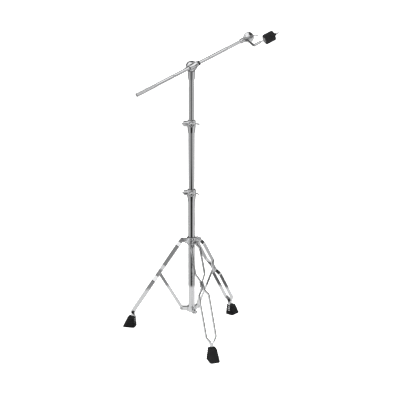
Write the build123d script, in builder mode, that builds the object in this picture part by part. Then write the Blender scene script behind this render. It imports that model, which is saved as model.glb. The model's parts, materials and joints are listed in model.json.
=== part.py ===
from build123d import *

import os
from math import atan2, cos, degrees, hypot, radians, sin

# Cymbal boom stand: a double-braced folding tripod, two telescoping stages, a ratchet boom arm and a
# cymbal tilter with felts. Millimetres, +Z up, floor at Z = 0, the boom rising towards +X.

os.makedirs("parts", exist_ok=True)

# ---- driving dimensions -------------------------------------------------------------------------
pole_x, pole_y = -31.4, 53.6  # the pole's axis, which puts the origin under the middle of the stand

running = 0.06  # radial clearance of a pin or shaft that turns or slides in its hole
seat = 0.02  # gap between curved faces that are pressed together
gap = 0.4  # gap between faces that move past each other

base_r, middle_r, upper_r = 12.7, 11.1, 9.525  # 1, 7/8 and 3/4 inch tubes
tube_wall = 1.2
base_z0, base_z1 = 100.0, 528.0
middle_z0, middle_z1 = 380.0, 779.0
upper_z0, upper_z1 = 575.0, 974.0

lower_clamp_z, upper_clamp_z = 511.0, 762.0  # lower rim of each height clamp's skirt
skirt_h, ring_h = 21.5, 23.0
clamp_turn = -103.0  # azimuth that the wing bolts of the height clamps point at
barrel_turn = clamp_turn - 90.0
bushing_wall = 2.8
bushing_lip = 1.2
barrel_r, barrel_reach = 9.6, 29.0
boss_r, boss_reach = 11.0, 21.0
bolt_r = 4.0
wing_half_span, wing_depth, wing_hub_r = 29.0, 13.0, 7.5

leg_turns = (-85.5, 34.5, 154.5)
pivot_reach = 38.0  # of the leg pivots on the collar and the brace pivots on the hub
hub_pivot_z, collar_pivot_z = 94.0, 363.0
knee_reach = 126.0
knee_z = (hub_pivot_z + collar_pivot_z) / 2
brace_len = hypot(knee_reach - pivot_reach, knee_z - hub_pivot_z)
lean = degrees(atan2(knee_reach - pivot_reach, knee_z - hub_pivot_z))  # legs from the vertical
pin_r = 3.0
lug_t, strip_t, strip_w = 8.0, 4.0, 15.0
brace_t, brace_w = 3.0, 12.5
ankle_along = 357.0  # from the collar pivot, down the leg
tail_z = 14.0  # lower end of the steel inside the rubber foot
foot_h = 42.0
foot_base, foot_top = (51.0, 39.0), (28.0, 28.0)  # radial by tangential
foot_base_reach, foot_top_reach = 249.0, 239.5

tilt_z = 996.0  # height of the boom's tilting axis
boom_lean = 26.3  # the boom above the horizontal
boom_y = pole_y - 26.0  # the boom passes in front of the pole
boom_r, boom_bore_r = 6.35, 5.0
boom_back, boom_front = -221.0, 203.0  # ends of the boom rod, from the tilting axis
knurl_back_end, knurl_front_start = -145.0, 134.0
ring_marks = (-75.0, 64.0)
ratchet_r = 19.0
neck_h, neck_top_r, neck_low_r = 29.0, 14.4, 11.7

head_at = 223.0  # the cymbal tilter's axis, along the boom from the tilting axis
head_r = 18.5
arm_drop = 33.0  # the cymbal rod's axis, below the boom's
arm_bar_r, rod_r = 5.25, 3.0
felt_start, felt_r, felt_t = 47.0, 18.5, 18.2
rod_tip = 105.0


# ---- planes -------------------------------------------------------------------------------------
def level(z, turn=0.0):
    """Horizontal plane at height z, centred on the pole, with X turned to an azimuth."""
    return Plane((pole_x, pole_y, z), (cos(radians(turn)), sin(radians(turn)), 0), (0, 0, 1))


def upright(turn):
    """Vertical plane through the pole: X is the distance from the pole, Y is the height."""
    c, s = cos(radians(turn)), sin(radians(turn))
    return Plane((pole_x, pole_y, 0), (c, s, 0), (s, -c, 0))


def facing(turn, reach, z):
    """Vertical plane that faces away from the pole at an azimuth: X is sideways, Y is up."""
    c, s = cos(radians(turn)), sin(radians(turn))
    return Plane((pole_x + reach * c, pole_y + reach * s, z), (-s, c, 0), (c, s, 0))


boom_dir = (cos(radians(boom_lean)), 0, sin(radians(boom_lean)))


def boom_side(y, along=0.0):
    """Plane of the boom's side view at depth y: X runs up the boom, Z points to -Y."""
    origin = (pole_x + along * boom_dir[0], y, tilt_z + along * boom_dir[2])
    return Plane(origin, boom_dir, (0, -1, 0))


def across_boom(along, y=boom_y, drop=0.0):
    """Plane square to the boom, a distance along it and a drop below it."""
    x = pole_x + along * boom_dir[0] + drop * boom_dir[2]
    return Plane((x, y, tilt_z + along * boom_dir[2] - drop * boom_dir[0]), (0, 1, 0), boom_dir)


def save(part, label):
    part.label = label
    export_step(part, f"parts/{label}.step")


# ---- shared shapes ------------------------------------------------------------------------------
def round_tube(plane, outer, inner, length):
    with BuildPart() as tube:
        with BuildSketch(plane):
            Circle(outer)
            Circle(inner, mode=Mode.SUBTRACT)
        extrude(amount=length)
        rims = tube.edges().filter_by(GeomType.CIRCLE).group_by(SortBy.RADIUS)[-1]
        chamfer(rims, 0.4)
    return tube.part


def wing_piece(plane, half_span, depth, hub_r, hub_len, shank_r=0.0, shank_len=0.0, bore_r=0.0):
    """A butterfly nut or bolt. The plane sits under the hub; Z points away from the clamp and X
    runs along the wings."""
    flip = Plane(plane.origin, plane.x_dir, -plane.z_dir)
    side = Plane(plane.origin, plane.x_dir, -plane.y_dir)
    with BuildPart() as wings:
        with BuildSketch(plane):
            for turn in (0, 180):
                with Locations(Rotation(0, 0, turn)):
                    with BuildLine(mode=Mode.PRIVATE) as curve:
                        ThreePointArc((hub_r * 0.3, 0), (half_span * 0.52, half_span * 0.1),
                                      (half_span - 3.0, -half_span * 0.03))
                    SlotArc(curve.edges()[0], 5.6)
        extrude(amount=depth)
        with BuildSketch(side):
            with BuildLine():
                Polyline((0, 0), (hub_r, 0), (half_span, depth * 0.35), (half_span, depth),
                         (hub_r * 1.1, depth * 0.8), (0, depth * 0.8))
                mirror(about=Plane.YZ)
            make_face()
            corners = [v for v in vertices() if abs(v.X) > half_span - 1]
            fillet(corners, min(depth * 0.28, 4.0))
        extrude(amount=half_span, both=True, mode=Mode.INTERSECT)
        with BuildSketch(plane):
            Circle(hub_r)
        extrude(amount=hub_len, taper=4)
        if shank_len:
            with BuildSketch(flip):
                Circle(shank_r)
            extrude(amount=shank_len)
        if bore_r:
            with BuildSketch(plane):
                Circle(bore_r)
            extrude(amount=hub_len, mode=Mode.SUBTRACT)
    return wings.part


# ---- base: tube, hub, plug ----------------------------------------------------------------------
def make_base():
    save(round_tube(level(base_z0), base_r, base_r - tube_wall, base_z1 - base_z0), "base_tube")

    with BuildPart() as plug:
        with BuildSketch(level(base_z0 - 3.0)):
            Circle(base_r)
        extrude(amount=3.0)
        with BuildSketch(level(base_z0)):
            Circle(base_r - tube_wall - seat)
        extrude(amount=12.0)
        chamfer(plug.faces().sort_by(Axis.Z)[0].edges(), 1.0)
    save(plug.part, "base_tube_plug")

    with BuildPart() as hub:
        with BuildSketch(level(hub_pivot_z - 9.0)):
            Circle(base_r + 5.0)
        extrude(amount=20.0)
        fillet(hub.edges().filter_by(GeomType.CIRCLE), 1.6)
        for turn in leg_turns:
            add(fork_lug(turn, hub_pivot_z, 14.0))
            with BuildSketch(upright(turn)):
                with Locations((pivot_reach + 3.0, hub_pivot_z)):
                    Rectangle(26.0, 30.0)
            extrude(amount=(brace_t + 2 * gap) / 2, both=True, mode=Mode.SUBTRACT)
            with BuildSketch(upright(turn)):
                with Locations((pivot_reach, hub_pivot_z)):
                    Circle(pin_r + seat)
            extrude(amount=lug_t, both=True, mode=Mode.SUBTRACT)
        with BuildSketch(level(base_z0 - 3.0)):
            Circle(base_r + seat)
        extrude(amount=40.0, mode=Mode.SUBTRACT)
        with BuildSketch(level(0)):
            Circle(base_r - 2.0)
        extrude(amount=base_z0, mode=Mode.SUBTRACT)
    save(hub.part, "brace_hub")
    save(pins(hub_pivot_z, 14.0), "hub_pins")


def fork_lug(turn, z, thick):
    """A rounded lug that reaches from the pole to the pivot circle."""
    with BuildPart() as lug:
        with BuildSketch(upright(turn)):
            with BuildLine():
                Polyline((base_r + 1.0, z - 8.5), (pivot_reach, z - 6.8))
                ThreePointArc((pivot_reach, z - 6.8), (pivot_reach + 6.8, z),
                              (pivot_reach, z + 6.8))
                Polyline((pivot_reach, z + 6.8), (base_r + 1.0, z + 8.5), (base_r + 1.0, z - 8.5))
            make_face()
        extrude(amount=thick / 2, both=True)
    return lug.part


def pins(z, grip):
    """Three rivets, one through each lug, with domed heads outside a grip length."""
    with BuildPart() as rivets:
        for turn in leg_turns:
            with BuildSketch(upright(turn)):
                with Locations((pivot_reach, z)):
                    Circle(pin_r)
            extrude(amount=grip / 2, both=True)
            for side in (1, -1):
                add(rivet_head(turn, (pivot_reach, z), grip / 2, side, 4.8))
    return rivets.part


def rivet_head(turn, at, offset, side, head_r):
    """A domed rivet head on one side of an upright plane."""
    face = upright(turn)
    base = Plane(face.origin + face.z_dir * offset * side, face.x_dir, face.z_dir * side)
    with BuildPart() as dome:
        with BuildSketch(base):
            with Locations((at[0], at[1] * side)):
                Circle(head_r)
        extrude(amount=2.0, taper=30)
    return dome.part


# ---- leg collar ---------------------------------------------------------------------------------
collar_h = 26.0
collar_low = collar_pivot_z - 13.0
liner_wall = 1.6


def make_leg_collar():
    bore = base_r + 0.35 + liner_wall + seat
    bolt_turn = leg_turns[2] + 60.0
    with BuildPart() as collar:
        with BuildSketch(level(collar_low)):
            Circle(bore + 3.6)
        extrude(amount=collar_h)
        fillet(collar.edges().filter_by(GeomType.CIRCLE), 1.6)
        for turn in leg_turns:
            add(fork_lug(turn, collar_pivot_z, lug_t))
            with BuildSketch(upright(turn)):
                with Locations((pivot_reach, collar_pivot_z)):
                    Circle(pin_r + seat)
            extrude(amount=lug_t, both=True, mode=Mode.SUBTRACT)
        with BuildSketch(facing(bolt_turn, bore + 1.0, collar_pivot_z)):
            Circle(7.5)
        extrude(amount=8.0)
        with BuildSketch(level(0)):
            Circle(bore)
        extrude(amount=tilt_z, mode=Mode.SUBTRACT)
        with BuildSketch(facing(bolt_turn, 0, collar_pivot_z)):
            Circle(3.0 + running)
        extrude(amount=50.0, mode=Mode.SUBTRACT)
    save(collar.part, "leg_collar")
    save(pins(collar_pivot_z, lug_t + 2 * (gap + strip_t + 0.3)), "leg_collar_pins")

    with BuildPart() as liner:
        with BuildSketch(level(collar_low - 1.5)):
            Circle(bore - seat)
            Circle(base_r + 0.35, mode=Mode.SUBTRACT)
        extrude(amount=collar_h + 3.0)
        for z in (collar_low - 1.5, collar_low + collar_h + seat):
            with BuildSketch(level(z)):
                Circle(bore + 1.2)
                Circle(bore - 0.5, mode=Mode.SUBTRACT)
            extrude(amount=1.5 - seat)
    save(liner.part, "leg_collar_liner")

    plane = facing(bolt_turn, bore + 9.0 + gap, collar_pivot_z)
    bolt = wing_piece(plane, 17.0, 11.0, 5.5, 10.0, 3.0, 9.0)
    save(bolt, "leg_collar_wing_bolt")


# ---- legs and braces ----------------------------------------------------------------------------
def leg_point(along, aside=0.0):
    """A point on a leg's side view: a distance down the leg from the collar pivot, and aside."""
    s, c = sin(radians(lean)), cos(radians(lean))
    return (pivot_reach + along * s + aside * c, collar_pivot_z - along * c + aside * s)


def make_strip(turn, side):
    """One of a leg's two flat bars: its side view, cut to the line that it takes sideways."""
    half = strip_w / 2
    s, c = sin(radians(lean)), cos(radians(lean))
    ankle = leg_point(ankle_along)
    lug_half = lug_t / 2 + gap + strip_t / 2
    knee_half = brace_t / 2 + gap + strip_t / 2
    touch = strip_t / 2 + 0.01
    down = (s * cos(radians(turn)), s * sin(radians(turn)), -c)
    across = (-sin(radians(turn)) * side, cos(radians(turn)) * side, 0)
    start = upright(turn).from_local_coords((*leg_point(0), 0))
    plan = Plane(start, down, Vector(*down).cross(Vector(*across)))
    line = [(-12, lug_half), (9, lug_half), (23, 16.5), (117, 17.5), (brace_len - 17, knee_half),
            (brace_len + 15, knee_half), (brace_len + 34, 18.5), (343, 17.5), (367, touch),
            (430, touch)]
    with BuildPart() as strip:
        with BuildSketch(upright(turn)):
            with BuildLine():
                FilletPolyline(leg_point(0, half), (ankle[0] + half, ankle[1] + half * 0.3),
                               (ankle[0] + half, tail_z), radius=6.0)
                Polyline((ankle[0] + half, tail_z), (ankle[0] - half, tail_z))
                FilletPolyline((ankle[0] - half, tail_z), (ankle[0] - half, ankle[1] - half * 0.3),
                               leg_point(0, -half), radius=6.0)
                ThreePointArc(leg_point(0, -half), leg_point(-half), leg_point(0, half))
            make_face()
            for at in (leg_point(0), leg_point(brace_len)):
                with Locations(at):
                    Circle(pin_r + running, mode=Mode.SUBTRACT)
        extrude(amount=30.0, both=True)
        with BuildSketch(plan):
            with BuildLine(mode=Mode.PRIVATE) as path:
                FilletPolyline(*line, radius=7.0)
            trace(path.edges(), line_width=strip_t)
        extrude(amount=120.0, both=True, mode=Mode.INTERSECT)
        long_edges = strip.edges().filter_by(lambda e: e.length > 60)
        chamfer(long_edges, 0.5)
    return strip.part


def make_foot(turn):
    """Rubber boot with ribs around its lower half and a pocket for the two steel tails."""
    ankle_reach = leg_point(ankle_along)[0]
    sections = 6
    with BuildPart() as foot:
        for k in range(sections):
            low = k / sections * 0.55
            high = (k + 0.55) / sections * 0.55
            add(foot_block(turn, low, high, 0.0))
            add(foot_block(turn, high, (k + 1) / sections * 0.55, 1.3))
        add(foot_block(turn, 0.55, 1.0, 0.0))
        top = foot.faces().filter_by(Axis.Z).sort_by(Axis.Z)[-1]
        fillet(top.edges(), 2.0)
        with BuildSketch(level(tail_z - 0.05, turn)):
            with Locations((ankle_reach, 0)):
                Rectangle(strip_w + 0.1, 2 * strip_t + 0.12)
        extrude(amount=foot_h, mode=Mode.SUBTRACT)
    return foot.part


def foot_block(turn, low, high, inset):
    """A slice of the foot's tapering block, from one fraction of its height to another."""
    with BuildPart() as block:
        for share in (low, high):
            reach = foot_base_reach + (foot_top_reach - foot_base_reach) * share
            long = foot_base[0] + (foot_top[0] - foot_base[0]) * share - 2 * inset
            wide = foot_base[1] + (foot_top[1] - foot_base[1]) * share - 2 * inset
            with BuildSketch(level(foot_h * share, turn)):
                with Locations((reach, 0)):
                    RectangleRounded(long, wide, 7.5)
        loft()
    return block.part


def make_brace(turn):
    half = brace_w / 2
    s, c = sin(radians(lean)) * half, cos(radians(lean)) * half
    low, high = (pivot_reach, hub_pivot_z), (knee_reach, knee_z)
    away = (sin(radians(lean)) * half, cos(radians(lean)) * half)
    with BuildPart() as brace:
        with BuildSketch(upright(turn)):
            with BuildLine():
                Line((low[0] + c, low[1] - s), (high[0] + c, high[1] - s))
                ThreePointArc((high[0] + c, high[1] - s), (high[0] + away[0], high[1] + away[1]),
                              (high[0] - c, high[1] + s))
                Line((high[0] - c, high[1] + s), (low[0] - c, low[1] + s))
                ThreePointArc((low[0] - c, low[1] + s), (low[0] - away[0], low[1] - away[1]),
                              (low[0] + c, low[1] - s))
            make_face()
            for at in (low, high):
                with Locations(at):
                    Circle(pin_r + running, mode=Mode.SUBTRACT)
        extrude(amount=brace_t / 2, both=True)
        chamfer(brace.edges().filter_by(lambda e: e.length > 60), 0.5)
    return brace.part


def make_leg_rivets(turn):
    """The knee pin that the brace turns on, with its two heads."""
    knee_grip = brace_t + 2 * (gap + strip_t)
    with BuildPart() as rivets:
        with BuildSketch(upright(turn)):
            with Locations((knee_reach, knee_z)):
                Circle(pin_r)
        extrude(amount=knee_grip / 2, both=True)
        for side in (1, -1):
            add(rivet_head(turn, (knee_reach, knee_z), knee_grip / 2, side, 5.0))
    return rivets.part


def make_legs():
    for number, turn in enumerate(leg_turns, 1):
        save(make_strip(turn, 1), f"leg_{number}_left_bar")
        save(make_strip(turn, -1), f"leg_{number}_right_bar")
        save(make_foot(turn), f"leg_{number}_rubber_foot")
        save(make_leg_rivets(turn), f"leg_{number}_knee_rivet")
        save(make_brace(turn), f"brace_{number}")


# ---- height clamps ------------------------------------------------------------------------------
def make_clamp(name, z, tube_below, tube_above):
    """Cast clamp on the top of one tube, its bushing for the next tube, and its two screws."""
    ring_z = z + skirt_h
    top = ring_z + ring_h
    axis_z = ring_z + ring_h * 0.5
    bore = tube_above + running + bushing_wall + running
    ring_r = max(bore + 2.6, tube_below + 4.0)
    with BuildPart() as clamp:
        with BuildSketch(upright(0)):
            with BuildLine():
                Polyline((0, z), (tube_below + 0.9, z), (ring_r - 0.6, ring_z - 2.0),
                         (ring_r, ring_z), (ring_r, top), (0, top), (0, z))
            make_face()
        revolve(axis=Axis((pole_x, pole_y, 0), (0, 0, 1)))
        rim = clamp.faces().sort_by(Axis.Z)[-1].edges()
        fillet(rim, 1.5)
        with BuildSketch(facing(barrel_turn, 0, axis_z)):
            Circle(barrel_r)
        extrude(amount=barrel_reach)
        end = clamp.faces().sort_by(Axis((pole_x, pole_y, 0), facing(barrel_turn, 0, 0).z_dir))[-1]
        fillet(end.edges(), 2.4)
        with BuildSketch(facing(clamp_turn, 0, axis_z)):
            Circle(boss_r)
        extrude(amount=boss_reach)
        end = clamp.faces().sort_by(Axis((pole_x, pole_y, 0), facing(clamp_turn, 0, 0).z_dir))[-1]
        fillet(end.edges(), 1.6)
        with BuildSketch(facing(clamp_turn + 180, 0, axis_z)):
            Rectangle(14.0, 15.0)
        extrude(amount=ring_r + 4.0)
        with BuildSketch(level(z - 1.0)):
            Circle(tube_below + seat)
        extrude(amount=base_z1 - lower_clamp_z + 1.0, mode=Mode.SUBTRACT)
        with BuildSketch(level(z - 1.0)):
            Circle(tube_above + gap)
        extrude(amount=100.0, mode=Mode.SUBTRACT)
        with BuildSketch(level(ring_z - 3.0)):
            Circle(bore)
        extrude(amount=100.0, mode=Mode.SUBTRACT)
        for turn, hole in ((clamp_turn, bolt_r + running), (barrel_turn, 3.0 + seat)):
            with BuildSketch(facing(turn, 0, axis_z)):
                Circle(hole)
            extrude(amount=60.0, mode=Mode.SUBTRACT)
    save(clamp.part, f"{name}_clamp")

    with BuildPart() as bushing:
        with BuildSketch(level(ring_z - 2.8)):
            Circle(bore - running)
        extrude(amount=ring_h + 2.8 + gap)
        with BuildSketch(level(top + gap)):
            Circle(bore + 0.6)
        extrude(amount=bushing_lip)
        fillet(bushing.faces().sort_by(Axis.Z)[-1].edges(), 0.5)
        with BuildSketch(level(z)):
            Circle(tube_above + running)
        extrude(amount=100.0, mode=Mode.SUBTRACT)
    save(bushing.part, f"{name}_bushing")

    with BuildPart() as key_screw:
        with BuildSketch(facing(barrel_turn, bore + 0.6, axis_z)):
            Circle(3.0)
        extrude(amount=barrel_reach - bore - 0.6)
        with BuildSketch(facing(barrel_turn, barrel_reach, axis_z)):
            Circle(5.0)
        extrude(amount=1.2)
        with BuildSketch(facing(barrel_turn, barrel_reach + 1.2, axis_z)):
            Rectangle(5.0, 5.0)
        extrude(amount=3.6)
        chamfer(key_screw.faces().sort_by(Axis((0, 0, 0), facing(barrel_turn, 0, 0).z_dir))[-1]
                .edges(), 0.5)
    save(key_screw.part, f"{name}_key_screw")

    plane = facing(clamp_turn, boss_reach + gap, axis_z)
    bolt = wing_piece(plane, wing_half_span, wing_depth, wing_hub_r, 12.0, bolt_r,
                      boss_reach + gap - bore - 0.5)
    save(bolt, f"{name}_wing_bolt")


# ---- pole-top tilter ----------------------------------------------------------------------------
cheek_y = pole_y - 4.0  # front face of the fixed ratchet cheek
saddle_back = cheek_y - gap
saddle_front = pole_y - 15.8
cheek_t = 14.5
sleeve_r, sleeve_half = 10.2, 23.5  # the barrel that the boom runs through
boom_bushing_r = 7.8
eye_bolt_r = 3.5


def rim_notches(plane, radius, depth, count=36):
    """Fine notches around the rim of a ratchet disc, to be cut from its mating face."""
    with BuildPart() as notches:
        with BuildSketch(plane):
            with PolarLocations(radius, count):
                Rectangle(3.0, 1.1)
        extrude(amount=depth)
    return notches.part


def make_tilter():
    with BuildPart() as receiver:
        neck_low = tilt_z - ratchet_r - neck_h
        with BuildSketch(boom_side(cheek_y)):
            Circle(ratchet_r)
        extrude(amount=-cheek_t)
        fillet(receiver.edges().filter_by(GeomType.CIRCLE).sort_by(Axis.Y)[-1], 2.0)
        add(rim_notches(boom_side(cheek_y), ratchet_r, -2.0), mode=Mode.SUBTRACT)
        with BuildSketch(Plane((pole_x, cheek_y, tilt_z), (1, 0, 0), (0, -1, 0))):
            with Locations((0, -ratchet_r / 2 - 1.0)):
                Rectangle(1.7 * neck_top_r, ratchet_r)
        extrude(amount=-cheek_t)
        with BuildSketch(level(neck_low)):
            Circle(neck_low_r)
        with BuildSketch(level(neck_low + neck_h - 0.6)):
            Circle(neck_top_r)
        loft()
        with BuildSketch(level(neck_low)):
            Circle(upper_r + seat)
        extrude(amount=upper_z1 - neck_low, mode=Mode.SUBTRACT)
        with BuildSketch(boom_side(cheek_y)):
            Circle(eye_bolt_r + running)
        extrude(amount=-40.0, mode=Mode.SUBTRACT)
    save(receiver.part, "tilter_receiver")

    with BuildPart() as saddle:
        with BuildSketch(boom_side(saddle_back)):
            Circle(ratchet_r)
        extrude(amount=saddle_back - saddle_front)
        with BuildSketch(boom_side(saddle_front)):
            Circle(ratchet_r)
        extrude(amount=9.0, taper=32)
        add(rim_notches(boom_side(saddle_back), ratchet_r, 2.0), mode=Mode.SUBTRACT)
        with BuildSketch(across_boom(-sleeve_half)):
            with Locations((0, 0)):
                Circle(sleeve_r)
            with Locations((sleeve_r + saddle_front - boom_y, 0)):
                Rectangle(2 * sleeve_r, 4 * sleeve_r, mode=Mode.SUBTRACT)
        extrude(amount=2 * sleeve_half)
        with BuildSketch(across_boom(-sleeve_half - 1)):
            Circle(boom_bushing_r + running)
        extrude(amount=2 * sleeve_half + 2, mode=Mode.SUBTRACT)
        with BuildSketch(boom_side(saddle_back)):
            Circle(eye_bolt_r + seat)
        extrude(amount=14.0, mode=Mode.SUBTRACT)
    save(saddle.part, "tilter_saddle")

    bolt_front = boom_y + boom_bushing_r + 0.3
    bolt_back = cheek_y + cheek_t + 20.0
    with BuildPart() as bolt:
        with BuildSketch(boom_side(bolt_back)):
            Circle(eye_bolt_r)
        extrude(amount=bolt_back - bolt_front)
        chamfer(bolt.edges().filter_by(GeomType.CIRCLE).sort_by(Axis.Y)[-1], 0.8)
    save(bolt.part, "tilter_bolt")

    washer_y = cheek_y + cheek_t
    with BuildPart() as washer:
        with BuildSketch(boom_side(washer_y + 1.6)):
            Circle(8.5)
            Circle(eye_bolt_r + running, mode=Mode.SUBTRACT)
        extrude(amount=1.6)
    save(washer.part, "tilter_washer")

    nut_plane = Plane((pole_x, washer_y + 1.6 + gap, tilt_z), boom_dir, (0, 1, 0))
    nut = wing_piece(nut_plane, 25.0, 12.0, 7.0, 11.0, bore_r=eye_bolt_r + running)
    save(nut, "tilter_wing_nut")

    with BuildPart() as bushing:
        with BuildSketch(across_boom(-sleeve_half - 1.5)):
            Circle(boom_bushing_r)
            Circle(boom_r + running, mode=Mode.SUBTRACT)
        extrude(amount=2 * sleeve_half + 3.0)
    save(bushing.part, "boom_bushing")


# ---- boom ---------------------------------------------------------------------------------------
def make_boom():
    with BuildPart() as boom:
        with BuildSketch(across_boom(boom_back)):
            Circle(boom_r)
        extrude(amount=boom_front - boom_back)
        marks = (*ring_marks, knurl_back_end, knurl_front_start)
        for along in marks:
            with BuildSketch(across_boom(along - 0.6)):
                Circle(boom_r + 1.0)
                Circle(boom_r - 0.4, mode=Mode.SUBTRACT)
            extrude(amount=1.2, mode=Mode.SUBTRACT)
        with BuildSketch(across_boom(boom_back)):
            Circle(boom_bore_r)
        extrude(amount=boom_front - boom_back, mode=Mode.SUBTRACT)
    save(boom.part, "boom_rod")

    with BuildPart() as plug:
        with BuildSketch(across_boom(boom_back - 2.0)):
            Circle(boom_r)
        extrude(amount=2.0)
        with BuildSketch(across_boom(boom_back)):
            Circle(boom_bore_r - seat)
        extrude(amount=10.0)
        end = plug.faces().sort_by(Axis.X)[0]
        fillet(end.edges(), 1.2)
    save(plug.part, "boom_end_plug")


# ---- cymbal tilter ------------------------------------------------------------------------------
head_split = boom_y - 1.0  # where the fixed cheek ends and the arm's disc begins
head_cheek_t, arm_disc_t = 9.0, 8.0
socket_r = 8.7
arm_y = head_split - gap - arm_disc_t / 2


def make_cymbal_tilter():
    with BuildPart() as head:
        with BuildSketch(boom_side(head_split, head_at)):
            Circle(head_r)
        extrude(amount=-head_cheek_t)
        fillet(head.edges().filter_by(GeomType.CIRCLE).sort_by(Axis.Y)[-1], 1.8)
        add(rim_notches(boom_side(head_split, head_at), head_r, -2.0), mode=Mode.SUBTRACT)
        with BuildSketch(across_boom(188.0)):
            Circle(socket_r)
            with Locations((-socket_r + head_split - boom_y, 0)):
                Rectangle(2 * socket_r, 30.0, mode=Mode.SUBTRACT)
        extrude(amount=20.0)
        with BuildSketch(across_boom(188.0)):
            Circle(socket_r)
        extrude(amount=14.5)
        with BuildSketch(across_boom(180.0)):
            Circle(boom_r + seat)
        extrude(amount=boom_front - 180.0 + seat, mode=Mode.SUBTRACT)
        with BuildSketch(boom_side(head_split, head_at)):
            Circle(eye_bolt_r + seat)
        extrude(amount=-20.0, mode=Mode.SUBTRACT)
    save(head.part, "cymbal_tilter_head")

    disc_back = head_split - gap
    with BuildPart() as arm:
        with BuildSketch(boom_side(disc_back, head_at)):
            Circle(head_r)
        extrude(amount=arm_disc_t)
        fillet(arm.edges().filter_by(GeomType.CIRCLE).sort_by(Axis.Y)[0], 1.8)
        add(rim_notches(boom_side(disc_back, head_at), head_r, 2.0), mode=Mode.SUBTRACT)
        arm_plane = boom_side(arm_y, head_at)
        with BuildLine(arm_plane):
            bar = FilletPolyline((-8.0, -8.0), (1.5, -arm_drop), (30.0, -arm_drop), radius=5.5)
        with BuildSketch(Plane(bar @ 0, z_dir=bar % 0)):
            Circle(arm_bar_r)
        sweep(path=bar)
        for face, amount in ((disc_back, -30.0), (disc_back - arm_disc_t, 30.0)):
            with BuildSketch(boom_side(face, head_at)):
                Circle(head_r + 2.5)
            extrude(amount=amount, mode=Mode.SUBTRACT)
        with BuildSketch(boom_side(disc_back, head_at)):
            Circle(eye_bolt_r + running)
        extrude(amount=arm_disc_t + 10.0, mode=Mode.SUBTRACT)
        with BuildSketch(across_boom(head_at + 12.0, arm_y, arm_drop)):
            Circle(rod_r + seat)
        extrude(amount=40.0, mode=Mode.SUBTRACT)
    save(arm.part, "cymbal_tilter_arm")

    bolt_back, bolt_front = head_split + head_cheek_t, disc_back - arm_disc_t - 17.0
    with BuildPart() as bolt:
        with BuildSketch(boom_side(bolt_back, head_at)):
            Circle(eye_bolt_r)
        extrude(amount=bolt_back - bolt_front)
        with BuildSketch(boom_side(bolt_back + 3.5, head_at)):
            RegularPolygon(6.5, 6)
        extrude(amount=3.5)
    save(bolt.part, "cymbal_tilter_bolt")

    face_y = disc_back - arm_disc_t
    wing_dir = (cos(radians(boom_lean - 14)), 0, sin(radians(boom_lean - 14)))
    plane = Plane(boom_side(face_y - gap, head_at).origin, wing_dir, (0, -1, 0))
    nut = wing_piece(plane, wing_half_span, wing_depth, wing_hub_r, 12.0,
                     bore_r=eye_bolt_r + running)
    save(nut, "cymbal_tilter_wing_nut")


def make_cymbal_seat():
    def seat_plane(along):
        return across_boom(head_at + along, arm_y, arm_drop)

    felt_end = felt_start + 2 * felt_t + 0.2
    with BuildPart() as rod:
        with BuildSketch(seat_plane(12.0 + seat)):
            Circle(rod_r)
        extrude(amount=rod_tip - 12.0)
        chamfer(rod.faces().sort_by(Axis.X)[-1].edges(), 0.6)
    save(rod.part, "cymbal_rod")

    with BuildPart() as washer:
        with BuildSketch(seat_plane(felt_start - 3.2)):
            Circle(11.0)
            Circle(rod_r + seat, mode=Mode.SUBTRACT)
        extrude(amount=1.6)
    save(washer.part, "cup_washer")

    with BuildPart() as sleeve:
        with BuildSketch(seat_plane(felt_start - 1.6)):
            Circle(7.0)
        extrude(amount=1.6)
        with BuildSketch(seat_plane(felt_start)):
            Circle(4.6)
        extrude(amount=2 * felt_t - 2.0)
        with BuildSketch(seat_plane(felt_start - 2)):
            Circle(rod_r + seat)
        extrude(amount=60.0, mode=Mode.SUBTRACT)
    save(sleeve.part, "cymbal_sleeve")

    for name, along in (("lower_felt", felt_start), ("upper_felt", felt_start + felt_t + 0.2)):
        with BuildPart() as felt:
            with BuildSketch(seat_plane(along)):
                Circle(felt_r)
                Circle(4.6 + seat, mode=Mode.SUBTRACT)
            extrude(amount=felt_t)
            fillet(felt.edges().filter_by(GeomType.CIRCLE).group_by(SortBy.RADIUS)[-1], 1.2)
        save(felt.part, name)

    nut = wing_piece(seat_plane(felt_end + gap), 15.0, 9.0, 5.6, 9.5,
                     bore_r=rod_r + running)
    save(nut, "cymbal_wing_nut")


# ---- build --------------------------------------------------------------------------------------
make_base()
make_leg_collar()
make_legs()
make_clamp("lower", lower_clamp_z, base_r, middle_r)
make_clamp("upper", upper_clamp_z, middle_r, upper_r)
save(round_tube(level(middle_z0), middle_r, middle_r - tube_wall, middle_z1 - middle_z0),
     "middle_tube")
save(round_tube(level(upper_z0), upper_r, upper_r - tube_wall, upper_z1 - upper_z0), "upper_tube")
make_tilter()
make_boom()
make_cymbal_tilter()
make_cymbal_seat()
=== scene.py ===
"""Cymbal boom stand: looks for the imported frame, with soft studio light on a white sweep."""
import json
import math
import random

import bmesh
import bpy
from mathutils import Matrix, Vector, noise


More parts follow.
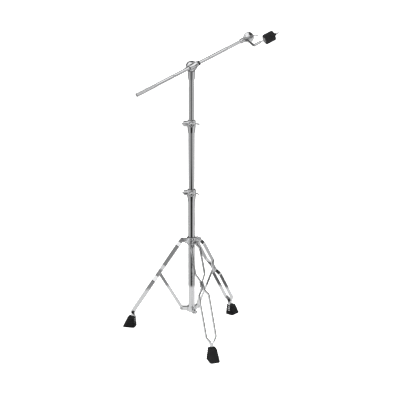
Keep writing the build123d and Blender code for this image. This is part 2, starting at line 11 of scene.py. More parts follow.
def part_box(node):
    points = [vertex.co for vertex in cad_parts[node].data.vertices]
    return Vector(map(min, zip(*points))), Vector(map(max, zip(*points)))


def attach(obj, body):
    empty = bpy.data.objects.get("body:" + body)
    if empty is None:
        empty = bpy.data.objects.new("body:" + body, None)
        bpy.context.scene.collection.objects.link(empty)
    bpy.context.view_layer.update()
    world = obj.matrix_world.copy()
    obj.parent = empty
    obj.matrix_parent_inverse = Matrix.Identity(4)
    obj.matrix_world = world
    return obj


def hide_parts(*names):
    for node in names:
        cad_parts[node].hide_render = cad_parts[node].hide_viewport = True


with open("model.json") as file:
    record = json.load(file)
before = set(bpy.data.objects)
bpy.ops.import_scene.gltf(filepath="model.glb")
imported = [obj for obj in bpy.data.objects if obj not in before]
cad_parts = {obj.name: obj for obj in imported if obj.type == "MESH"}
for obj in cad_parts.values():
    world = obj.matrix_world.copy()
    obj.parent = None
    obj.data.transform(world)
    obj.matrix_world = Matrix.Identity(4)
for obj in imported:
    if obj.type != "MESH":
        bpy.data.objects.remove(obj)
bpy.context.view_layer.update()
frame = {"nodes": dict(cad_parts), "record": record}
nodes = frame["nodes"]
joints = {j["name"]: j for j in frame["record"]["behaviour"]["joints"]}
body_of_node = {n: b for b, ns in frame["record"]["behaviour"]["bodies"].items() for n in ns}
slot_of_node = {s["node"]: s["material_slot"] for s in frame["record"]["subparts"]}


def centre(node):
    low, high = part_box(node)
    return (Vector(low) + Vector(high)) / 2


pole = centre("base_tube")
pole.z = 0.0
boom_axis = Vector(joints["boom_roll"]["axis"]).normalized()
boom_origin = Vector(joints["boom_tilt"]["pos_m"])
boom_up = Vector((-boom_axis.z, 0, boom_axis.x))


# ---- materials ----------------------------------------------------------------------------------
def grey(level):
    return (*level, 1) if isinstance(level, tuple) else (level, level, level, 1)


class Graph:
    """Small helper that adds and joins shader nodes."""

    def __init__(self, tree):
        self.tree = tree

    def add(self, kind, **sockets):
        node = self.tree.nodes.new(kind)
        for key, value in sockets.items():
            target = node.inputs[int(key[1:])] if key[0] == "i" and key[1:].isdigit() else None
            if target is None:
                setattr(node, key, value)
            elif isinstance(value, bpy.types.NodeSocket):
                self.tree.links.new(value, target)
            else:
                target.default_value = value
        return node

    def link(self, out, target):
        self.tree.links.new(out, target)

    def noise(self, vector, scale, detail=3.0, rough=0.5):
        node = self.add("ShaderNodeTexNoise")
        self.link(vector, node.inputs["Vector"])
        node.inputs["Scale"].default_value = scale
        node.inputs["Detail"].default_value = detail
        node.inputs["Roughness"].default_value = rough
        return node.outputs["Fac"]

    def span(self, value, low, high, to_low=0.0, to_high=1.0, smooth=False):
        node = self.add("ShaderNodeMapRange")
        node.interpolation_type = "SMOOTHSTEP" if smooth else "LINEAR"
        self.link(value, node.inputs["Value"])
        for name, v in (("From Min", low), ("From Max", high), ("To Min", to_low),
                        ("To Max", to_high)):
            node.inputs[name].default_value = v
        return node.outputs["Result"]

    def math(self, operation, a, b=0.0, clamp=False):
        node = self.add("ShaderNodeMath", operation=operation, use_clamp=clamp)
        for socket, value in zip(node.inputs, (a, b)):
            if isinstance(value, bpy.types.NodeSocket):
                self.link(value, socket)
            else:
                socket.default_value = value
        return node.outputs[0]

    def ramp(self, value, *stops):
        node = self.add("ShaderNodeValToRGB")
        self.link(value, node.inputs["Fac"])
        elements = node.color_ramp.elements
        for element, stop in ((elements[0], stops[0]), (elements[1], stops[-1])):
            element.position, element.color = stop[0], grey(stop[1])
        for stop in stops[1:-1]:
            elements.new(stop[0]).color = grey(stop[1])
        return node.outputs["Color"]


def material(name):
    """A new material, its Graph, its shader and the object's coordinates."""
    mat = bpy.data.materials.new(name)
    mat.use_nodes = True
    graph = Graph(mat.node_tree)
    shader = mat.node_tree.nodes["Principled BSDF"]
    place = graph.add("ShaderNodeTexCoord").outputs["Object"]
    return mat, graph, shader, place


def bumped(graph, shader, height, distance):
    bump = graph.add("ShaderNodeBump")
    bump.inputs["Strength"].default_value = 1.0
    bump.inputs["Distance"].default_value = distance
    graph.link(height, bump.inputs["Height"])
    graph.link(bump.outputs["Normal"], shader.inputs["Normal"])


def metal(name, color, rough, spread, wear, bump):
    """Plated or brushed metal with handling smears, fine scratches and darker spots."""
    mat, g, shader, place = material(name)
    shader.inputs["Metallic"].default_value = 1.0
    smear = g.noise(place, 38.0, 5.0, 0.6)
    fine = g.noise(place, 900.0, 3.0, 0.7)
    both = g.math("ADD", g.math("MULTIPLY", smear, 0.7), g.math("MULTIPLY", fine, 0.3))
    g.link(g.span(both, 0.35, 0.68, rough, rough + spread), shader.inputs["Roughness"])
    spots = g.noise(place, 210.0, 6.0, 0.65)
    low = tuple(c * wear for c in color)
    g.link(g.ramp(spots, (0.30, low), (0.46, color)), shader.inputs["Base Color"])
    scratch = g.add("ShaderNodeMapping")
    g.link(place, scratch.inputs["Vector"])
    scratch.inputs["Scale"].default_value = (900.0, 900.0, 45.0)
    bumped(g, shader, g.noise(scratch.outputs["Vector"], 1.0, 2.0), bump)
    return mat


def rubber(name):
    mat, g, shader, place = material(name)
    shader.inputs["Specular IOR Level"].default_value = 0.22
    grain = g.noise(place, 1400.0, 4.0, 0.6)
    dust = g.noise(place, 46.0, 6.0, 0.65)
    g.link(g.ramp(dust, (0.40, (0.006, 0.006, 0.0065)), (0.62, (0.010, 0.010, 0.0105)),
                  (0.82, (0.022, 0.0215, 0.021))), shader.inputs["Base Color"])
    g.link(g.span(dust, 0.35, 0.75, 0.50, 0.76), shader.inputs["Roughness"])
    bumped(g, shader, g.math("ADD", grain, g.math("MULTIPLY", dust, 0.6)), 0.00025)
    return mat


def felt(name):
    mat, g, shader, place = material(name)
    shader.inputs["Roughness"].default_value = 0.95
    shader.inputs["Specular IOR Level"].default_value = 0.12
    shader.inputs["Sheen Weight"].default_value = 0.12
    shader.inputs["Sheen Roughness"].default_value = 0.5
    shader.inputs["Sheen Tint"].default_value = (0.55, 0.55, 0.58, 1)
    tangle = g.noise(place, 620.0, 8.0, 0.75)
    fibres = g.add("ShaderNodeTexVoronoi", feature="DISTANCE_TO_EDGE")
    g.link(place, fibres.inputs["Vector"])
    fibres.inputs["Scale"].default_value = 900.0
    mix = g.math("ADD", tangle, g.math("MULTIPLY", fibres.outputs["Distance"], 0.8))
    g.link(g.ramp(mix, (0.35, (0.004, 0.004, 0.0045)), (0.62, (0.009, 0.009, 0.0095)),
                  (0.86, (0.028, 0.028, 0.029))), shader.inputs["Base Color"])
    bumped(g, shader, mix, 0.0007)
    return mat


def nylon(name):
    mat, g, shader, place = material(name)
    wear = g.noise(place, 120.0, 5.0, 0.6)
    pebble = g.noise(place, 1800.0, 2.0)
    g.link(g.ramp(wear, (0.35, (0.010, 0.010, 0.011)), (0.75, (0.030, 0.030, 0.031))),
           shader.inputs["Base Color"])
    g.link(g.span(wear, 0.3, 0.7, 0.30, 0.48), shader.inputs["Roughness"])
    bumped(g, shader, pebble, 0.00012)
    return mat


finishes = {
    "chrome": metal("polished_chrome", (0.87, 0.875, 0.885), 0.018, 0.05, 0.84, 0.000004),
    "steel": metal("brushed_steel", (0.60, 0.60, 0.61), 0.22, 0.20, 0.62, 0.000040),
    "black_rubber": rubber("black_rubber"),
    "black_felt": felt("black_felt"),
    "black_nylon": nylon("black_nylon"),
}

for node, obj in nodes.items():
    obj.data.materials.clear()
    obj.data.materials.append(finishes[slot_of_node[node]])


# ---- mesh helpers -------------------------------------------------------------------------------
def piece(name, bm, finish, *stands_for, body=None, subdivide=0, smooth_angle=40.0):
    """Turns a bmesh in the row frame into a finished piece that stands for CAD nodes."""
    bmesh.ops.recalc_face_normals(bm, faces=bm.faces)
    mesh = bpy.data.meshes.new(name)
    bm.to_mesh(mesh)
    bm.free()
    obj = bpy.data.objects.new(name, mesh)
    bpy.context.scene.collection.objects.link(obj)
    mesh.materials.append(finishes[finish])
    for poly in mesh.polygons:
        poly.use_smooth = True
    mesh.set_sharp_from_angle(angle=math.radians(smooth_angle))
    if subdivide:
        mod = obj.modifiers.new("round", "SUBSURF")
        mod.levels = mod.render_levels = subdivide
    if stands_for:
        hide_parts(*stands_for)
    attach(obj, body or body_of_node[stands_for[0]])
    return obj


def axes(origin, forward, side):
    """Matrix whose Z is forward and X is side, at an origin."""
    z = Vector(forward).normalized()
    x = Vector(side)
    x = (x - z * x.dot(z)).normalized()
    y = z.cross(x)
    return Matrix.Translation(origin) @ Matrix((x, y, z)).transposed().to_4x4()


def rings_to_faces(bm, rings, close_start=True, close_end=True):
    for a, b in zip(rings, rings[1:]):
        n = len(a)
        for k in range(n):
            bm.faces.new((a[k], a[(k + 1) % n], b[(k + 1) % n], b[k]))
    if close_start:
        bm.faces.new(list(reversed(rings[0])))
    if close_end:
        bm.faces.new(rings[-1])


def turned(bm, place, profile, segments=48, wobble=None, closed=False):
    """A lathe form: profile is (radius, height) pairs about the Z axis of place."""
    rings = []
    for radius, height in profile:
        ring = []
        for k in range(segments):
            angle = 2 * math.pi * k / segments
            r = radius + (wobble(angle, height, radius) if wobble else 0.0)
            ring.append(bm.verts.new(place @ Vector((r * math.cos(angle), r * math.sin(angle),
                                                     height))))
        rings.append(ring)
    if closed:
        rings.append(rings[0])
    rings_to_faces(bm, rings, not closed, not closed)


full_wing_span = 0.029  # half the span of the largest wings, which the others are scaled from


def wing_pair(bm, place, half_span, depth, hub_r, hub_h, bore_r, dome):
    """A cast butterfly: two waisted wings that rise from a round hub, with rounded rims."""
    profile = [(bore_r, 0.0), (hub_r * 0.93, 0.0), (hub_r, 0.0006), (hub_r * 0.98, hub_h * 0.45),
               (hub_r * 0.86, hub_h * 0.9), (hub_r * 0.76, hub_h)]
    if dome:
        profile = [(hub_r * 0.2, 0.0)] + profile[1:] + [(hub_r * 0.45, hub_h * 1.07),
                                                        (hub_r * 0.1, hub_h * 1.1)]
        turned(bm, place, profile, 40)
    else:
        turned(bm, place, profile + [(bore_r, hub_h * 0.98)], 40, closed=True)
    stations, around = 15, 16
    tip_starts, rim_starts = 0.72, 0.85
    for side in (1, -1):
        rings = []
        for i in range(stations):
            t = i / (stations - 1)
            x = hub_r * 0.55 + (half_span - hub_r * 0.55) * t
            low = depth * (0.06 + 0.34 * t ** 1.4)
            high = depth * (0.72 + 0.28 * math.sin(min(t * 1.25, 1.0) * math.pi / 2))
            if t > tip_starts:
                fall = (t - tip_starts) / (1 - tip_starts)
                mid = (low + high) / 2
                shrink = math.sqrt(max(0.0, 1 - fall ** 2.6))
                low = mid + (low - mid) * max(shrink, 0.08)
                high = mid + (high - mid) * max(shrink, 0.08)
            waist = math.sin(min(1.0, t * 1.15) * math.pi)
            half_t = (0.0030 - 0.0011 * waist) * (half_span / full_wing_span)
            if t > rim_starts:
                fall = (t - rim_starts) / (1 - rim_starts)
                half_t *= max(0.35, math.sqrt(max(0.0, 1 - fall ** 2)))
            bend = side * half_span * 0.10 * math.sin(t * math.pi)
            ring = []
            for k in range(around):
                angle = 2 * math.pi * k / around
                c, s = math.cos(angle), math.sin(angle)
                c = math.copysign(abs(c) ** 0.6, c)
                s = math.copysign(abs(s) ** 0.6, s)
                height = (low + high) / 2 + (high - low) / 2 * s
                ring.append(bm.verts.new(place @ Vector((side * x, bend + half_t * c, height))))
            rings.append(ring)
        rings_to_faces(bm, rings)


def wing_side(node, axis):
    """Direction that a CAD wing piece's wings run in."""
    axis = Vector(axis).normalized()
    mid = centre(node)
    best = max((v.co - mid for v in nodes[node].data.vertices),
               key=lambda d: (d - axis * d.dot(axis)).length)
    return best - axis * best.dot(axis)


def make_wing(node, joint, half_span, depth, hub_r, hub_h, bore_r=0.0):
    """The butterfly of a wing bolt, or with a bore of a wing nut, where the CAD piece stands."""
    origin = Vector(joints[joint]["pos_m"])
    axis = Vector(joints[joint]["axis"])
    place = axes(origin, axis, wing_side(node, axis))
    bm = bmesh.new()
    wing_pair(bm, place, half_span, depth, hub_r, hub_h, bore_r, not bore_r)
    return place, bm


# ---- wing bolts and nuts ------------------------------------------------------------------------
def thread_rod(bm, place, radius, start, end, pitch=0.00125):
    """A screw thread as a stack of ridges, with plain ends."""
    profile = [(radius * 0.8, start)]
    turns = int(abs(end - start) / pitch)
    step = (end - start) / max(turns, 1)
    for k in range(turns):
        profile += [(radius * 0.86, start + step * (k + 0.1)), (radius, start + step * (k + 0.5)),
                    (radius * 0.86, start + step * (k + 0.9))]
    profile.append((radius * 0.8, end))
    turned(bm, place, profile, 24)


for height in ("lower", "upper"):
    place, bm = make_wing(f"{height}_wing_bolt", f"{height}_wing_turn",
                          full_wing_span, 0.013, 0.0075, 0.0118)
    shank = 0.0046 if height == "lower" else 0.0062
    thread_rod(bm, place, 0.0040, -shank, 0.0)
    piece(f"{height}_wing_bolt_cast", bm, "chrome", f"{height}_wing_bolt", subdivide=1)

place, bm = make_wing("leg_collar_wing_bolt", "collar_wing_turn",
                      0.017, 0.011, 0.0055, 0.0098)
thread_rod(bm, place, 0.0030, -0.0088, 0.0, 0.001)
piece("leg_collar_wing_bolt_cast", bm, "chrome", "leg_collar_wing_bolt", subdivide=1)

place, bm = make_wing("tilter_wing_nut", "tilter_wing_turn",
                      0.025, 0.012, 0.0070, 0.0108, 0.00356)
piece("tilter_wing_nut_cast", bm, "chrome", "tilter_wing_nut", subdivide=1)

place, bm = make_wing("cymbal_tilter_wing_nut", "cymbal_tilter_wing_turn",
                      full_wing_span, 0.013, 0.0075, 0.0118, 0.00356)
piece("cymbal_tilter_wing_nut_cast", bm, "chrome", "cymbal_tilter_wing_nut", subdivide=1)

place, bm = make_wing("cymbal_wing_nut", "cymbal_wing_turn",
                      0.0149, 0.009, 0.0056, 0.0092, 0.00306)
piece("cymbal_wing_nut_moulded", bm, "black_nylon", "cymbal_wing_nut", subdivide=1)


# ---- rubber feet --------------------------------------------------------------------------------
foot_height = 0.042
rib_depth, rib_count = 0.0034, 5.0
ribs_from, ribs_to = 0.06, 0.90  # shares of the foot's height
squareness = 0.34  # exponent of the rounded square that a foot's section follows


def rounded_square(step, count):
    """A point on a rounded square of half-width 1, as step of count around it."""
    angle = 2 * math.pi * step / count
    return tuple(math.copysign(abs(v) ** squareness, v) for v in (math.cos(angle), math.sin(angle)))


def foot_mesh(bm, place):
    """A tapering boot: smooth outer face, ribs round the other three, and a hollowed top."""
    levels, around = 44, 72
    rings = []
    for i in range(levels + 1):
        share = i / levels
        z = foot_height * share
        reach = 0.249 - 0.0095 * share
        long = (0.051 - 0.023 * share) / 2
        wide = (0.039 - 0.011 * share) / 2
        rib = 0.0
        if ribs_from < share < ribs_to:
            phase = (share - ribs_from) / (ribs_to - ribs_from) * rib_count % 1.0
            if phase < 0.6:
                rib = -rib_depth * max(0.0, math.sin(phase / 0.6 * math.pi)) ** 0.7
        ease = 0.0014 * max(0.0, 1 - share / 0.035) + 0.0022 * max(0.0, (share - 0.955) / 0.045) ** 2
        ring = []
        for k in range(around):
            x, y = rounded_square(k, around)
            keep = min(1.0, max(0.0, (0.80 - x) / 0.35))
            inset = rib * keep - ease
            ring.append(bm.verts.new(place @ Vector((reach + x * (long + inset),
                                                     y * (wide + inset), z))))
        rings.append(ring)
    for shrink, drop in ((0.80, 0.0), (0.72, 0.0012), (0.60, 0.0016)):
        ring = []
        for k in range(around):
            x, y = rounded_square(k, around)
            ring.append(bm.verts.new(place @ Vector((0.2395 + x * 0.0135 * shrink,
                                                     y * 0.0140 * shrink, foot_height - drop))))
        rings.append(ring)
    rings_to_faces(bm, rings)


leg_headings = {1: -85.5, 2: 34.5, 3: 154.5}
for number, turn in leg_headings.items():
    place = Matrix.Translation(pole) @ Matrix.Rotation(math.radians(turn), 4, "Z")
    bm = bmesh.new()
    foot_mesh(bm, place)
    piece(f"leg_{number}_foot_boot", bm, "black_rubber", f"leg_{number}_rubber_foot",
          smooth_angle=50.0)


# ---- felts --------------------------------------------------------------------------------------
def felt_mesh(bm, node, seed):
    """A thick felt washer with soft rims and an uneven, hairy surface."""
    place = axes(centre(node), boom_axis, boom_up)
    half = 0.0091
    outer, inner, rim = 0.0186, 0.0047, 0.0022
    profile = [(inner, -half + 0.0004), (inner + 0.0008, -half)]
    for k in range(7):
        profile.append((inner + 0.001 + (outer - rim - inner - 0.001) * (k + 1) / 7, -half))
    for k in range(1, 6):
        a = math.pi / 2 * k / 5
        profile.append((outer - rim + rim * math.sin(a), -half + rim - rim * math.cos(a)))
    for k in range(1, 9):
        profile.append((outer, -half + rim + (2 * half - 2 * rim) * k / 9))
    for k in range(0, 6):
        a = math.pi / 2 * k / 5
        profile.append((outer - rim + rim * math.cos(a), half - rim + rim * math.sin(a)))
    for k in range(7):
        profile.append((outer - rim - (outer - rim - inner - 0.001) * (k + 1) / 7, half))
    profile.append((inner, half - 0.0004))
    turned(bm, place, profile, 96, closed=True)
    for vert in bm.verts:
        local = place.inverted() @ vert.co
        r = math.hypot(local.x, local.y)
        if r < inner + 0.0012:
            continue
        out = Vector((local.x, local.y, 0)).normalized() if r > outer - rim else Vector((0, 0, 0))
        if abs(local.z) > half - rim * 0.6:
            out = out + Vector((0, 0, math.copysign(1.0, local.z) * (0.35 if r < outer - rim else 1)))
        amount = noise.fractal(local * 420.0 + Vector((seed, 0, 0)), 0.9, 2.2, 4) * 0.00016
        amount += noise.noise(local * 90.0 + Vector((seed, 5, 0))) * 0.00022
        vert.co = place @ (local + out * (amount - 0.0001))
    hairs = random.Random(seed)
    surface = list(bm.faces)
    for _ in range(900):
        face = surface[hairs.randrange(len(surface))]
        start = face.calc_center_median()
        local = place.inverted() @ start
        if math.hypot(local.x, local.y) < outer * 0.72:
            continue
        normal = (Vector((local.x, local.y, 0)).normalized() +
                  Vector((0, 0, local.z / half * 0.5))).normalized()
        lean = Vector((hairs.uniform(-1, 1), hairs.uniform(-1, 1), hairs.uniform(-1, 1))) * 0.9
        tip = local + (normal + lean).normalized() * hairs.uniform(0.0003, 0.0009)
        side = lean.cross(normal).normalized() * 0.00006
        a = bm.verts.new(place @ (local + side - normal * 0.0001))
        b = bm.verts.new(place @ (local - side - normal * 0.0001))
        c = bm.verts.new(place @ tip)
        bm.faces.new((a, b, c))


for seed, node in ((3, "lower_felt"), (8, "upper_felt")):
    bm = bmesh.new()
    felt_mesh(bm, node, seed)
    felt_piece = piece(f"{node}_washer", bm, "black_felt", node, smooth_angle=60.0)


# ---- boom rod with knurled ends -----------------------------------------------------------------
boom_radius, boom_bore = 0.00635, 0.0050
boom_start, boom_end = -0.221, 0.203  # ends of the rod, from the tilting axis
ring_marks = (-0.145, -0.075, 0.064, 0.134)  # the outer two end the knurled stretches


def boom_mesh(bm):
    """A tube with turned rings, and deep flutes with a light twill between them at its ends."""
    place = axes(boom_origin, boom_axis, boom_up)
    heights = []
    u = boom_start
    while u < boom_end - 1e-6:
        heights.append(u)
        knurled = u < ring_marks[0] + 0.001 or u > ring_marks[-1] - 0.001
        u += 0.0008 if knurled else 0.0040
    heights.append(boom_end)

    def wobble(angle, height, radius):
        if (boom_start + 0.002 < height < ring_marks[0] - 0.0006
                or ring_marks[-1] + 0.0006 < height < boom_end - 0.003):
            groove = (0.5 - 0.5 * math.cos(9 * angle)) ** 3.0
            twill = 0.5 + 0.5 * math.cos(height * 2 * math.pi / 0.0034 + 18 * angle)
            return -0.00125 * groove - 0.00010 * twill * (1 - groove)
        return 0.0

    profile = [(boom_bore, boom_start)]
    cuts = sorted(heights + [m + d for m in ring_marks
                             for d in (-0.0007, -0.0005, 0.0005, 0.0007)])
    for h in cuts:
        in_mark = any(abs(h - m) < 0.0006 for m in ring_marks)
        profile.append((boom_radius - (0.0004 if in_mark else 0.0), h))
    profile.append((boom_bore, boom_end))
    turned(bm, place, profile, 90, wobble=wobble, closed=True)


bm = bmesh.new()
boom_mesh(bm)
piece("boom_rod_knurled", bm, "chrome", "boom_rod", smooth_angle=75.0)


# ---- boom tilter and cymbal tilter --------------------------------------------------------------
def rounded_disc(bm, place, radius, height, rim, dish=0.0, bore=0.0, teeth=0, steps=8):
    """A pressed cap: toothed mating rim, rounded shoulder and a slightly dished or domed face."""
    profile = [(bore, 0.0), (radius * 0.8, 0.0), (radius * 0.985, 0.0), (radius, 0.0006),
               (radius, height - rim)]
    for k in range(1, steps + 1):
        a = math.pi / 2 * k / steps
        profile.append((radius - rim + rim * math.cos(a), height - rim + rim * math.sin(a)))
    for k in range(1, 6):
        t = k / 6
        face = height + dish * math.sin(t * math.pi / 2)
        profile.append(((radius - rim) * (1 - t) + bore * t, face))
    profile.append((bore, height + dish))

    def tooth(angle, h, r):
        if teeth and h < 0.0021 and r > radius * 0.9:
            return -0.0007 * (0.5 - 0.5 * math.cos(teeth * angle)) ** 0.7
        return 0.0

    turned(bm, place, profile, max(48, teeth * 4), wobble=tooth, closed=True)


def tube_along(bm, points, radius, segments=24):
    """A round bar along points, with its rings square to the way it runs."""
    rings = []
    for k, point in enumerate(points):
        ahead = points[min(k + 1, len(points) - 1)] - points[max(k - 1, 0)]
        place = axes(point, ahead, Vector((0, 1, 0)))
        turns = [2 * math.pi * i / segments for i in range(segments)]
        rings.append([bm.verts.new(place @ Vector((radius * math.cos(a), radius * math.sin(a), 0)))
                      for a in turns])
    rings_to_faces(bm, rings)


front = Vector((0, -1, 0))
_, saddle_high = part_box("tilter_saddle")
bm = bmesh.new()
place = axes(Vector((boom_origin.x, saddle_high[1], boom_origin.z)), front, boom_axis)
rounded_disc(bm, place, 0.019, 0.0204, 0.0160, 0.0, 0.0036, 36, 14)
barrel = axes(boom_origin, boom_axis, boom_up)
turned(bm, barrel, [(0.00788, -0.0135), (0.0094, -0.0140), (0.0101, -0.0132), (0.0102, -0.0120),
                    (0.0098, -0.0100), (0.0098, 0.0118), (0.0102, 0.0135), (0.0102, 0.0172),
                    (0.0096, 0.0180), (0.00788, 0.0180)], 56, closed=True)
piece("tilter_saddle_cast", bm, "chrome", "tilter_saddle", smooth_angle=50.0)

bm = bmesh.new()
turned(bm, barrel, [(0.00641, -0.0158), (0.0074, -0.0160), (0.0078, -0.0154), (0.0078, 0.0210),
                    (0.0088, 0.0212), (0.0092, 0.0218), (0.0092, 0.0242), (0.0086, 0.0250),
                    (0.00641, 0.0250)], 56, closed=True)
piece("boom_bushing_sleeve", bm, "black_nylon", "boom_bushing", smooth_angle=50.0)

head_axis = Vector(joints["cymbal_tilt"]["pos_m"])
_, arm_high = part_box("cymbal_tilter_arm")
rod_mid = centre("cymbal_rod")
arm_y = rod_mid.y
drop = (rod_mid - head_axis).dot(boom_up)
bm = bmesh.new()
disc = axes(Vector((head_axis.x, arm_high[1], head_axis.z)), front, boom_axis)
rounded_disc(bm, disc, 0.0185, 0.0064, 0.0045, 0.0014, 0.00356, 36, 10)
origin = Vector((head_axis.x, arm_y, head_axis.z))


def arm_point(along, up):
    return origin + boom_axis * along + boom_up * up


bend = [arm_point(-0.0098 + 0.0106 * t, -0.0060 + (drop + 0.0105) * t)
        for t in (0.0, 0.35, 0.7, 0.9)]
for k in range(9):
    a = math.radians(196 + 74 * k / 8)
    bend.append(arm_point(0.0062 + 0.0055 * math.cos(a), drop + 0.0055 + 0.0055 * math.sin(a)))
bend += [arm_point(x, drop) for x in (0.011, 0.018, 0.0255, 0.0285)]
tube_along(bm, bend, 0.0052)
turned(bm, axes(arm_point(0.0280, drop), boom_axis, boom_up),
       [(0.0031, 0.0), (0.0052, 0.0), (0.0050, 0.0012), (0.0042, 0.0020), (0.0031, 0.0020)], 32,
       closed=True)
piece("cymbal_tilter_arm_forged", bm, "chrome", "cymbal_tilter_arm", smooth_angle=50.0)


# ---- floor, light, camera -----------------------------------------------------------------------
def sweep():
    """The white floor, and a white backdrop that only the camera sees."""
    bm = bmesh.new()
    bmesh.ops.create_grid(bm, x_segments=1, y_segments=1, size=40.0)
    mesh = bpy.data.meshes.new("floor")
    bm.to_mesh(mesh)
    bm.free()
    floor = bpy.data.objects.new("floor", mesh)
    bpy.context.scene.collection.objects.link(floor)
    mat, _, shader, _ = material("white_sweep")
    shader.inputs["Base Color"].default_value = (0.93, 0.93, 0.93, 1)
    shader.inputs["Roughness"].default_value = 1.0
    shader.inputs["Specular IOR Level"].default_value = 0.0
    shader.inputs["Emission Color"].default_value = (1, 1, 1, 1)
    shader.inputs["Emission Strength"].default_value = 0.75
    mesh.materials.append(mat)
    floor.visible_glossy = False
    floor.location.z = -0.0002

    bm = bmesh.new()
    bmesh.ops.create_icosphere(bm, subdivisions=4, radius=38.0)
    mesh = bpy.data.meshes.new("backdrop")
    bm.to_mesh(mesh)
    bm.free()
    backdrop = bpy.data.objects.new("backdrop", mesh)
    bpy.context.scene.collection.objects.link(backdrop)
    mat, _, shader, _ = material("white_backdrop")
    shader.inputs["Base Color"].default_value = (1, 1, 1, 1)
    shader.inputs["Emission Color"].default_value = (1, 1, 1, 1)
    shader.inputs["Emission Strength"].default_value = 1.2
    mesh.materials.append(mat)
    backdrop.visible_glossy = backdrop.visible_diffuse = backdrop.visible_shadow = False


def turned_azimuth(g, vector, toward):
    """A vector's azimuth from a heading in degrees, as -1 to 1, and its turned components."""
    turn = g.add("ShaderNodeMapping")
    g.link(vector, turn.inputs["Vector"])
    turn.inputs["Rotation"].default_value = (0, 0, math.radians(-toward))
    split = g.add("ShaderNodeSeparateXYZ")
    g.link(turn.outputs["Vector"], split.inputs[0])
    angle = g.math("ARCTAN2", split.outputs["Y"], split.outputs["X"])
    return g.math("DIVIDE", angle, math.pi), split


def mixed(g, a, b, share):
    """a where share is 0 and b where it is 1, from sockets or numbers."""
    node = g.add("ShaderNodeMix", data_type="FLOAT")
    for socket, value in ((node.inputs[0], share), (node.inputs[2], a), (node.inputs[3], b)):
        if isinstance(value, bpy.types.NodeSocket):
            g.link(value, socket)
        else:
            socket.default_value = value
    return node.outputs[0]


dark_heading = -98.0  # where the darkest part of the room is, in degrees from +X
# the room's brightness around the stand, from behind it (0 and 1) to the dark heading (0.5)
room_stops = ((0.0, 0.3), (0.02, 0.42), (0.07, 0.46), (0.1, 0.1), (0.139, 0.08), (0.175, 0.16),
              (0.211, 0.36), (0.24, 0.48), (0.28, 0.54), (0.335, 0.52), (0.345, 0.29),
              (0.43, 0.25), (0.442, 0.004), (0.57, 0.004), (0.582, 0.32), (0.6, 0.56), (0.65, 0.6),
              (0.72, 0.54), (0.76, 0.48), (0.789, 0.36), (0.825, 0.16), (0.861, 0.08), (0.9, 0.1),
              (0.93, 0.46), (0.965, 0.42), (0.972, 0.02), (0.993, 0.02), (1.0, 0.3))


def studio():
    """A bright, broken ceiling over a darker room, whose darkest part is near the camera."""
    world = bpy.data.worlds.new("studio")
    bpy.context.scene.world = world
    world.use_nodes = True
    g = Graph(world.node_tree)
    background = world.node_tree.nodes["Background"]
    ray = g.add("ShaderNodeTexCoord").outputs["Generated"]
    azimuth, split = turned_azimuth(g, ray, dark_heading)
    elevation = g.math("MULTIPLY", g.math("ARCSINE", split.outputs["Z"]), 180 / math.pi)
    around = g.math("ADD", g.math("MULTIPLY", azimuth, 0.5), 0.5)
    belt = g.ramp(around, *room_stops)
    belt = g.math("MAXIMUM", belt, g.span(elevation, -4.0, 0.5, 0.0, 0.13, True))
    ceiling = g.ramp(around,
                     (0.0, 0.10), (0.15, 0.16), (0.19, 0.97), (0.405, 0.97), (0.428, 0.015),
                     (0.503, 0.015), (0.511, 0.97), (0.556, 0.97), (0.564, 0.06), (0.642, 0.06),
                     (0.68, 0.97), (0.80, 0.97), (0.85, 0.16), (1.0, 0.10))
    upper = g.ramp(around, (0.0, 0.10), (0.15, 0.16), (0.19, 0.97), (0.560, 0.97), (0.572, 0.05),
                  (0.650, 0.05), (0.68, 0.97), (0.80, 0.97), (0.85, 0.16), (1.0, 0.10))
    ceiling = mixed(g, ceiling, upper, g.span(elevation, 18.0, 26.0, 0.0, 1.0, True))
    ceiling = mixed(g, ceiling, 0.05, g.span(elevation, 62.0, 76.0, 0.0, 1.0, True))
    level = mixed(g, belt, ceiling, g.span(elevation, 0.5, 4.0, 0.0, 1.0, True))
    g.link(level, background.inputs["Color"])
    background.inputs["Strength"].default_value = 1.0


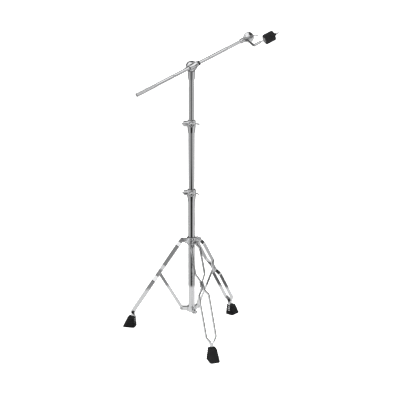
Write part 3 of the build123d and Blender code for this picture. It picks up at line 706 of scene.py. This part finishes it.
def reflected_floor():
    """What the chrome sees below the horizon: a white table top, its edge, then the dim room."""
    bm = bmesh.new()
    bmesh.ops.create_grid(bm, x_segments=1, y_segments=1, size=60.0)
    mesh = bpy.data.meshes.new("reflected_floor")
    bm.to_mesh(mesh)
    bm.free()
    card = bpy.data.objects.new("reflected_floor", mesh)
    card.location = (pole.x, pole.y, -0.0015)
    bpy.context.scene.collection.objects.link(card)
    mat, g, shader, place = material("reflected_floor")
    mat.node_tree.nodes.remove(shader)
    azimuth, _ = turned_azimuth(g, place, dark_heading)
    length = g.add("ShaderNodeVectorMath", operation="LENGTH")
    g.link(place, length.inputs[0])
    reach = length.outputs["Value"]
    around = g.math("ADD", g.math("MULTIPLY", azimuth, 0.5), 0.5)
    room = g.ramp(around, *room_stops)
    room = g.math("MAXIMUM", room, g.span(reach, 2.5, 5.0, 0.0, 0.13, True))
    edge = mixed(g, 0.13, room, g.span(reach, 0.68, 0.76, 0.0, 1.0, True))
    beside = g.ramp(around, (0.0, 0.0), (0.67, 0.0), (0.70, 1.0), (0.82, 1.0), (0.85, 0.0),
                    (1.0, 0.0))
    edge = mixed(g, room, edge, beside)
    level = mixed(g, 0.72, edge, g.span(reach, 0.50, 0.55, 0.0, 1.0, True))
    glow = g.add("ShaderNodeEmission")
    g.link(level, glow.inputs["Color"])
    g.link(glow.outputs[0], mat.node_tree.nodes["Material Output"].inputs["Surface"])
    mesh.materials.append(mat)
    card.visible_camera = card.visible_diffuse = card.visible_shadow = False
    card.visible_transmission = False


def soft_light(name, spot, target, size, watts):
    data = bpy.data.lights.new(name, "AREA")
    data.shape = "RECTANGLE"
    data.size = data.size_y = size
    data.energy = watts
    lamp = bpy.data.objects.new(name, data)
    lamp.location = spot
    lamp.rotation_euler = (Vector(target) - Vector(spot)).to_track_quat("-Z", "Y").to_euler()
    lamp.visible_glossy = False
    bpy.context.scene.collection.objects.link(lamp)


def camera():
    """Stands in front of the pole and a little to its left, looking slightly down."""
    data = bpy.data.cameras.new("camera")
    data.lens = 54.5
    data.sensor_width = 36.0
    data.shift_x = 0.018
    cam = bpy.data.objects.new("camera", data)
    turn, pitch = math.radians(-13.0), math.radians(12.0)
    cam.location = pole + Vector((-0.4838, -2.1164, 0.978))
    forward = Vector((-math.sin(turn) * math.cos(pitch), math.cos(turn) * math.cos(pitch),
                      -math.sin(pitch)))
    cam.rotation_euler = forward.to_track_quat("-Z", "Y").to_euler()
    bpy.context.scene.collection.objects.link(cam)
    bpy.context.scene.camera = cam


sweep()
studio()
reflected_floor()
soft_light("key", (-2.2, -2.6, 3.4), (0, 0, 0.5), 3.0, 120.0)
soft_light("fill", (2.8, 1.6, 3.0), (0, 0, 0.5), 3.0, 80.0)
soft_light("overhead", (0, 0, 4.2), (0, 0, 0), 4.0, 120.0)
camera()
bpy.context.scene.view_settings.view_transform = "Standard"
